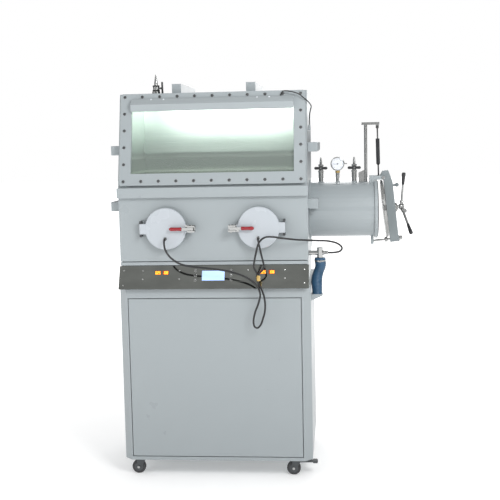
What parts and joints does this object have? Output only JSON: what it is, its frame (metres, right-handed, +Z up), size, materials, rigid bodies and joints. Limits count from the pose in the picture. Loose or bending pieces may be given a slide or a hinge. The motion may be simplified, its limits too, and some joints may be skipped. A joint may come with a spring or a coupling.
{
  "type": "laboratory glove box",
  "caption": "Vacuum glove box on a rolling cabinet: sloped window over covered glove ports, a control strip, and a round antechamber with a swing door at its right.",
  "frame": {"origin": "centre of the whole object's footprint, on the floor", "axes": "+Z up; the front with the glove ports faces -Y; the antechamber is on the +X side"},
  "size_m": [1.6137, 0.9179, 2.1723],
  "materials": {
    "paint": "grey-white powder coat",
    "cover_paint": "blue-white satin paint",
    "steel": "brushed and polished stainless",
    "glass": "clear toughened",
    "black_rubber": "matt black",
    "black_plastic": "satin black",
    "red_grip": "dark red",
    "blue_hose": "satin blue",
    "caster_metal": "dark zinc",
    "display": "lit display window",
    "pump_paint": "satin"
  },
  "bodies": {
    "glove_box": {"chamber_shell": "paint", "window_frame": "paint", "lamp_housing": "paint", "band_upper": "paint", "band_lower": "paint", "base_frame": "paint", "glove_ring_left": "paint", "glove_ring_right": "paint", "antechamber_tube": "paint", "hinge_bracket": "paint", "cabinet_shell": "paint", "interior_shelf": "steel", "console_panel": "steel", "inlet_valve_body": "steel", "outlet_valve_body": "steel", "pressure_gauge": "steel", "roof_valve_body": "steel", "strut_post": "steel", "side_fitting": "steel", "hose_tee": "steel", "window_glass": "glass", "glove_left": "black_rubber", "glove_right": "black_rubber", "hose_left": "black_rubber", "hose_right": "black_rubber", "hose_main": "black_rubber", "lamp_cable": "black_rubber", "exhaust_hose": "blue_hose", "display_board": "display", "vacuum_pump": "pump_paint"},
    "port_cover_left": {"port_cover_left": "cover_paint"},
    "port_cover_right": {"port_cover_right": "cover_paint"},
    "clamp_handle_left": {"clamp_handle_left": "red_grip"},
    "clamp_handle_right": {"clamp_handle_right": "red_grip"},
    "cabinet_door": {"cabinet_door": "paint"},
    "door_beam": {"door_beam": "paint"},
    "door_disc": {"door_disc": "steel"},
    "hand_wheel": {"hand_wheel": "steel"},
    "latch_rod": {"latch_rod": "steel"},
    "strut_rod": {"strut_rod": "steel"},
    "strut_cylinder": {"strut_cylinder": "black_plastic"},
    "inner_door": {"inner_door": "steel"},
    "inlet_valve_handle": {"inlet_valve_handle": "black_plastic"},
    "outlet_valve_handle": {"outlet_valve_handle": "black_plastic"},
    "roof_valve_handle": {"roof_valve_handle": "black_plastic"},
    "push_button_1": {"push_button_1": "steel"},
    "push_button_2": {"push_button_2": "steel"},
    "push_button_3": {"push_button_3": "steel"},
    "push_button_4": {"push_button_4": "steel"},
    "push_button_5": {"push_button_5": "steel"},
    "push_button_6": {"push_button_6": "steel"},
    "caster_fork_1": {"caster_fork_1": "caster_metal"},
    "caster_fork_2": {"caster_fork_2": "caster_metal"},
    "caster_fork_3": {"caster_fork_3": "caster_metal"},
    "caster_fork_4": {"caster_fork_4": "caster_metal"},
    "caster_wheel_1": {"caster_wheel_1": "black_rubber"},
    "caster_wheel_2": {"caster_wheel_2": "black_rubber"},
    "caster_wheel_3": {"caster_wheel_3": "black_rubber"},
    "caster_wheel_4": {"caster_wheel_4": "black_rubber"},
    "brake_pedal": {"brake_pedal": "caster_metal"}
  },
  "joints": [
    {"name": "left_cover_hinge", "type": "hinge", "parent": "glove_box", "child": "port_cover_left", "pos_m": [-0.6318, -0.40075, 1.35], "axis": [0, 0, -1], "range_deg": [0, 110], "deforming": ["hose_left"]},
    {"name": "right_cover_hinge", "type": "hinge", "parent": "glove_box", "child": "port_cover_right", "pos_m": [0.1242, -0.40075, 1.35], "axis": [0, 0, 1], "range_deg": [0, 110], "deforming": ["hose_right", "hose_tee", "hose_main"]},
    {"name": "left_clamp_handle", "type": "hinge", "parent": "port_cover_left", "child": "clamp_handle_left", "pos_m": [-0.3568, -0.4285, 1.35], "axis": [0, 0, 1], "range_deg": [0, 100]},
    {"name": "right_clamp_handle", "type": "hinge", "parent": "port_cover_right", "child": "clamp_handle_right", "pos_m": [-0.1508, -0.4285, 1.35], "axis": [0, 0, -1], "range_deg": [0, 100]},
    {"name": "cabinet_door_hinge", "type": "hinge", "parent": "glove_box", "child": "cabinet_door", "pos_m": [-0.7128, -0.3945, 0.5], "axis": [0, 0, -1], "range_deg": [0, 110]},
    {"name": "antechamber_door_hinge", "type": "hinge", "parent": "glove_box", "child": "door_beam", "pos_m": [0.6512, -0.0045, 1.585], "axis": [0, -1, 0], "range_deg": [-6, 84]},
    {"name": "disc_slide", "type": "slide", "parent": "door_beam", "child": "door_disc", "axis": [0.9945, 0, 0.1045], "range_m": [-0.0085, 0.0005]},
    {"name": "hand_wheel_turn", "type": "hinge", "parent": "door_disc", "child": "hand_wheel", "pos_m": [0.7391, -0.0045, 1.4213], "axis": [0.9945, 0, 0.1045], "range_deg": [0, 720]},
    {"name": "latch_rod_slide", "type": "slide", "parent": "door_beam", "child": "latch_rod", "axis": [0.9945, 0, 0.1045], "range_m": [0, 0.03]},
    {"name": "strut_swing", "type": "hinge", "parent": "glove_box", "child": "strut_rod", "pos_m": [0.6222, -0.0045, 1.862], "axis": [0, -1, 0], "range_deg": [-0.5, 2.5]},
    {"name": "strut_extend", "type": "slide", "parent": "strut_rod", "child": "strut_cylinder", "axis": [0.0201, 0, -0.9998], "range_m": [-0.004, 0.035]},
    {"name": "inner_door_hinge", "type": "hinge", "parent": "glove_box", "child": "inner_door", "pos_m": [0.2317, 0.1695, 1.413], "axis": [0, 0, -1], "range_deg": [0, 100]},
    {"name": "inlet_valve_turn", "type": "hinge", "parent": "glove_box", "child": "inlet_valve_handle", "pos_m": [0.3112, -0.029, 1.642], "axis": [0, -1, 0], "range_deg": [0, 90]},
    {"name": "outlet_valve_turn", "type": "hinge", "parent": "glove_box", "child": "outlet_valve_handle", "pos_m": [0.4942, -0.029, 1.642], "axis": [0, -1, 0], "range_deg": [0, 90]},
    {"name": "roof_valve_turn", "type": "hinge", "parent": "glove_box", "child": "roof_valve_handle", "pos_m": [-0.5583, -0.0645, 2.0983], "axis": [1, 0, 0], "range_deg": [0, 90]},
    {"name": "button_press_1", "type": "slide", "parent": "glove_box", "child": "push_button_1", "axis": [0, 0.899, -0.438], "range_m": [0, 0.002], "stiffness_N_per_m": 300},
    {"name": "button_press_2", "type": "slide", "parent": "glove_box", "child": "push_button_2", "axis": [0, 0.899, -0.438], "range_m": [0, 0.002], "stiffness_N_per_m": 300},
    {"name": "button_press_3", "type": "slide", "parent": "glove_box", "child": "push_button_3", "axis": [0, 0.899, -0.438], "range_m": [0, 0.002], "stiffness_N_per_m": 300},
    {"name": "button_press_4", "type": "slide", "parent": "glove_box", "child": "push_button_4", "axis": [0, 0.899, -0.438], "range_m": [0, 0.002], "stiffness_N_per_m": 300},
    {"name": "button_press_5", "type": "slide", "parent": "glove_box", "child": "push_button_5", "axis": [0, 0.899, -0.438], "range_m": [0, 0.002], "stiffness_N_per_m": 300},
    {"name": "button_press_6", "type": "slide", "parent": "glove_box", "child": "push_button_6", "axis": [0, 0.899, -0.438], "range_m": [0, 0.002], "stiffness_N_per_m": 300},
    {"name": "caster_swivel_1", "type": "hinge", "parent": "glove_box", "child": "caster_fork_1", "pos_m": [-0.6788, -0.3245, 0.09], "axis": [0, 0, 1], "continuous": true},
    {"name": "caster_spin_1", "type": "hinge", "parent": "caster_fork_1", "child": "caster_wheel_1", "pos_m": [-0.6988, -0.3245, 0.0375], "axis": [0, 1, 0], "continuous": true},
    {"name": "caster_swivel_2", "type": "hinge", "parent": "glove_box", "child": "caster_fork_2", "pos_m": [0.1712, -0.3245, 0.09], "axis": [0, 0, 1], "continuous": true},
    {"name": "caster_spin_2", "type": "hinge", "parent": "caster_fork_2", "child": "caster_wheel_2", "pos_m": [0.1512, -0.3245, 0.0375], "axis": [0, 1, 0], "continuous": true},
    {"name": "caster_swivel_3", "type": "hinge", "parent": "glove_box", "child": "caster_fork_3", "pos_m": [-0.6788, 0.2855, 0.09], "axis": [0, 0, 1], "continuous": true},
    {"name": "caster_spin_3", "type": "hinge", "parent": "caster_fork_3", "child": "caster_wheel_3", "pos_m": [-0.6988, 0.2855, 0.0375], "axis": [0, 1, 0], "continuous": true},
    {"name": "caster_swivel_4", "type": "hinge", "parent": "glove_box", "child": "caster_fork_4", "pos_m": [0.1712, 0.2855, 0.09], "axis": [0, 0, 1], "continuous": true},
    {"name": "caster_spin_4", "type": "hinge", "parent": "caster_fork_4", "child": "caster_wheel_4", "pos_m": [0.1512, 0.2855, 0.0375], "axis": [0, 1, 0], "continuous": true},
    {"name": "brake_pedal_hinge", "type": "hinge", "parent": "caster_fork_2", "child": "brake_pedal", "pos_m": [0.1852, -0.3245, 0.076], "axis": [0, 1, 0], "range_deg": [0, 20]}
  ],
  "couplings": [
    {"joint": "disc_slide", "follows": "hand_wheel_turn", "m_per_rad": -0.00063662},
    {"joint": "strut_swing", "follows": "antechamber_door_hinge", "ratio": 0.025},
    {"joint": "strut_extend", "follows": "antechamber_door_hinge", "m_per_rad": 0.02217}
  ]
}
